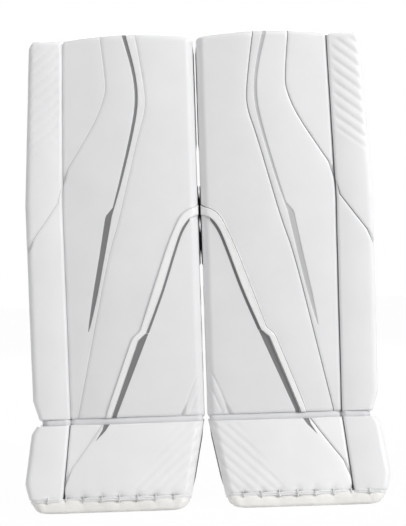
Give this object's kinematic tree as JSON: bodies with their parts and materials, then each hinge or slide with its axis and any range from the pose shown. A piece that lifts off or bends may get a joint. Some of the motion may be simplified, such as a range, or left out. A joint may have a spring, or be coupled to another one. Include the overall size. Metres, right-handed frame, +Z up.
{
  "type": "goalie leg pads",
  "caption": "Pair of white ice-hockey goalie leg pads standing on their toes, with outer rolls, hinged boots, black leg channels, wings, straps and roller buckles.",
  "frame": {"origin": "middle of the pair's bounding box, at floor level", "axes": "+X towards the left pad, which is on the viewer's right when the faces are seen; +Y from the faces to the legs; +Z up"},
  "size_m": [0.5952, 0.1894, 0.7697],
  "materials": {
    "white_skin": "smooth coated synthetic leather over thin face foam",
    "white_padding": "foam filled, covered in smooth coated synthetic leather",
    "white_laces": "braided lace",
    "foam": "high-density foam",
    "black_padding": "foam filled, covered in black nylon",
    "black_board": "stiff backing board under black nylon",
    "black_binding": "woven binding",
    "black_strap": "hook-and-loop strap on coated nylon",
    "black_leather": "smooth strap leather",
    "steel": "nickel-plated steel",
    "black_plastic": "moulded nylon"
  },
  "bodies": {
    "right_pad_shin": {"right_shin_cover": "white_skin", "right_shin_core": "foam", "right_shin_outer_roll": "white_padding", "right_back_panel": "black_board", "right_top_binding": "black_binding", "right_calf_channel": "black_padding", "right_knee_block": "black_padding", "right_thigh_liner": "black_padding", "right_strap_anchors": "black_leather", "right_strap_rivets": "steel", "right_ankle_strap": "black_leather", "right_buckle_strap": "black_leather", "right_buckle_frame": "steel"},
    "right_pad_boot": {"right_boot_cover": "white_skin", "right_boot_core": "foam", "right_boot_outer_roll": "white_padding", "right_toe_roll": "white_padding", "right_toe_lacing": "white_laces", "right_boot_liner": "black_padding", "right_toe_bridge": "black_plastic"},
    "right_pad_inner_calf_wing": {"right_inner_calf_wing": "black_padding"},
    "right_pad_outer_calf_wing": {"right_outer_calf_wing": "black_padding"},
    "right_pad_inner_knee_wing": {"right_inner_knee_wing": "black_padding"},
    "right_pad_outer_knee_wing": {"right_outer_knee_wing": "black_padding"},
    "right_pad_lower_calf_strap": {"right_lower_calf_strap": "black_strap"},
    "right_pad_upper_calf_strap": {"right_upper_calf_strap": "black_strap"},
    "right_pad_knee_strap": {"right_knee_strap": "black_strap"},
    "right_pad_thigh_strap": {"right_thigh_strap": "black_strap"},
    "right_pad_buckle_prong": {"right_buckle_prong": "steel"},
    "right_pad_buckle_roller": {"right_buckle_roller": "steel"},
    "left_pad_shin": {"left_shin_cover": "white_skin", "left_shin_core": "foam", "left_shin_outer_roll": "white_padding", "left_back_panel": "black_board", "left_top_binding": "black_binding", "left_calf_channel": "black_padding", "left_knee_block": "black_padding", "left_thigh_liner": "black_padding", "left_strap_anchors": "black_leather", "left_strap_rivets": "steel", "left_ankle_strap": "black_leather", "left_buckle_strap": "black_leather", "left_buckle_frame": "steel"},
    "left_pad_boot": {"left_boot_cover": "white_skin", "left_boot_core": "foam", "left_boot_outer_roll": "white_padding", "left_toe_roll": "white_padding", "left_toe_lacing": "white_laces", "left_boot_liner": "black_padding", "left_toe_bridge": "black_plastic"},
    "left_pad_inner_calf_wing": {"left_inner_calf_wing": "black_padding"},
    "left_pad_outer_calf_wing": {"left_outer_calf_wing": "black_padding"},
    "left_pad_inner_knee_wing": {"left_inner_knee_wing": "black_padding"},
    "left_pad_outer_knee_wing": {"left_outer_knee_wing": "black_padding"},
    "left_pad_lower_calf_strap": {"left_lower_calf_strap": "black_strap"},
    "left_pad_upper_calf_strap": {"left_upper_calf_strap": "black_strap"},
    "left_pad_knee_strap": {"left_knee_strap": "black_strap"},
    "left_pad_thigh_strap": {"left_thigh_strap": "black_strap"},
    "left_pad_buckle_prong": {"left_buckle_prong": "steel"},
    "left_pad_buckle_roller": {"left_buckle_roller": "steel"}
  },
  "joints": [
    {"name": "pair_spread", "type": "slide", "parent": "right_pad_shin", "child": "left_pad_shin", "axis": [1, 0, 0], "range_m": [0, 0.25]},
    {"name": "right_boot_flex", "type": "hinge", "parent": "right_pad_shin", "child": "right_pad_boot", "pos_m": [-0.142, -0.0034, 0.13861], "axis": [-1, 0, 0], "range_deg": [-6, 8], "stiffness_Nm_per_rad": 60},
    {"name": "right_inner_calf_wing_fold", "type": "hinge", "parent": "right_pad_shin", "child": "right_pad_inner_calf_wing", "pos_m": [-0.0075, -0.0018, 0.28189], "axis": [0, -0.0523, 0.9986], "range_deg": [0, 30]},
    {"name": "right_outer_calf_wing_fold", "type": "hinge", "parent": "right_pad_shin", "child": "right_pad_outer_calf_wing", "pos_m": [-0.2146, -0.0018, 0.28189], "axis": [0, 0.0523, -0.9986], "range_deg": [0, 30]},
    {"name": "right_inner_knee_wing_fold", "type": "hinge", "parent": "right_pad_shin", "child": "right_pad_inner_knee_wing", "pos_m": [-0.0052, -0.01093, 0.45615], "axis": [0, -0.0523, 0.9986], "range_deg": [0, 25]},
    {"name": "right_outer_knee_wing_fold", "type": "hinge", "parent": "right_pad_shin", "child": "right_pad_outer_knee_wing", "pos_m": [-0.2146, -0.01093, 0.45615], "axis": [0, 0.0523, -0.9986], "range_deg": [0, 25]},
    {"name": "right_lower_calf_strap_swing", "type": "hinge", "parent": "right_pad_shin", "child": "right_pad_lower_calf_strap", "pos_m": [-0.2704, 0.00489, 0.24419], "axis": [0, -0.0523, 0.9986], "range_deg": [0, 95]},
    {"name": "right_upper_calf_strap_swing", "type": "hinge", "parent": "right_pad_shin", "child": "right_pad_upper_calf_strap", "pos_m": [-0.2704, 0.00012, 0.33506], "axis": [0, -0.0523, 0.9986], "range_deg": [0, 95]},
    {"name": "right_knee_strap_swing", "type": "hinge", "parent": "right_pad_shin", "child": "right_pad_knee_strap", "pos_m": [-0.2704, -0.00624, 0.4564], "axis": [0, -0.0523, 0.9986], "range_deg": [0, 95]},
    {"name": "right_thigh_strap_swing", "type": "hinge", "parent": "right_pad_shin", "child": "right_pad_thigh_strap", "pos_m": [-0.2704, -0.01071, 0.54178], "axis": [0, -0.0523, 0.9986], "range_deg": [0, 95]},
    {"name": "right_buckle_prong_lift", "type": "hinge", "parent": "right_pad_shin", "child": "right_pad_buckle_prong", "pos_m": [-0.0605, 0.06566, 0.16025], "axis": [0, 0.0523, -0.9986], "range_deg": [0, 60]},
    {"name": "right_buckle_roller_spin", "type": "hinge", "parent": "right_pad_shin", "child": "right_pad_buckle_roller", "pos_m": [-0.0885, 0.07595, 0.16079], "axis": [0, -0.0523, 0.9986], "continuous": true},
    {"name": "left_boot_flex", "type": "hinge", "parent": "left_pad_shin", "child": "left_pad_boot", "pos_m": [0.142, -0.0034, 0.13861], "axis": [-1, 0, 0], "range_deg": [-6, 8], "stiffness_Nm_per_rad": 60},
    {"name": "left_inner_calf_wing_fold", "type": "hinge", "parent": "left_pad_shin", "child": "left_pad_inner_calf_wing", "pos_m": [0.0075, -0.0018, 0.28189], "axis": [0, 0.0523, -0.9986], "range_deg": [0, 30]},
    {"name": "left_outer_calf_wing_fold", "type": "hinge", "parent": "left_pad_shin", "child": "left_pad_outer_calf_wing", "pos_m": [0.2146, -0.0018, 0.28189], "axis": [0, -0.0523, 0.9986], "range_deg": [0, 30]},
    {"name": "left_inner_knee_wing_fold", "type": "hinge", "parent": "left_pad_shin", "child": "left_pad_inner_knee_wing", "pos_m": [0.0052, -0.01093, 0.45615], "axis": [0, 0.0523, -0.9986], "range_deg": [0, 25]},
    {"name": "left_outer_knee_wing_fold", "type": "hinge", "parent": "left_pad_shin", "child": "left_pad_outer_knee_wing", "pos_m": [0.2146, -0.01093, 0.45615], "axis": [0, -0.0523, 0.9986], "range_deg": [0, 25]},
    {"name": "left_lower_calf_strap_swing", "type": "hinge", "parent": "left_pad_shin", "child": "left_pad_lower_calf_strap", "pos_m": [0.2704, 0.00489, 0.24419], "axis": [0, 0.0523, -0.9986], "range_deg": [0, 95]},
    {"name": "left_upper_calf_strap_swing", "type": "hinge", "parent": "left_pad_shin", "child": "left_pad_upper_calf_strap", "pos_m": [0.2704, 0.00012, 0.33506], "axis": [0, 0.0523, -0.9986], "range_deg": [0, 95]},
    {"name": "left_knee_strap_swing", "type": "hinge", "parent": "left_pad_shin", "child": "left_pad_knee_strap", "pos_m": [0.2704, -0.00624, 0.4564], "axis": [0, 0.0523, -0.9986], "range_deg": [0, 95]},
    {"name": "left_thigh_strap_swing", "type": "hinge", "parent": "left_pad_shin", "child": "left_pad_thigh_strap", "pos_m": [0.2704, -0.01071, 0.54178], "axis": [0, 0.0523, -0.9986], "range_deg": [0, 95]},
    {"name": "left_buckle_prong_lift", "type": "hinge", "parent": "left_pad_shin", "child": "left_pad_buckle_prong", "pos_m": [0.0605, 0.06566, 0.16025], "axis": [0, -0.0523, 0.9986], "range_deg": [0, 60]},
    {"name": "left_buckle_roller_spin", "type": "hinge", "parent": "left_pad_shin", "child": "left_pad_buckle_roller", "pos_m": [0.0885, 0.07595, 0.16079], "axis": [0, 0.0523, -0.9986], "continuous": true}
  ]
}
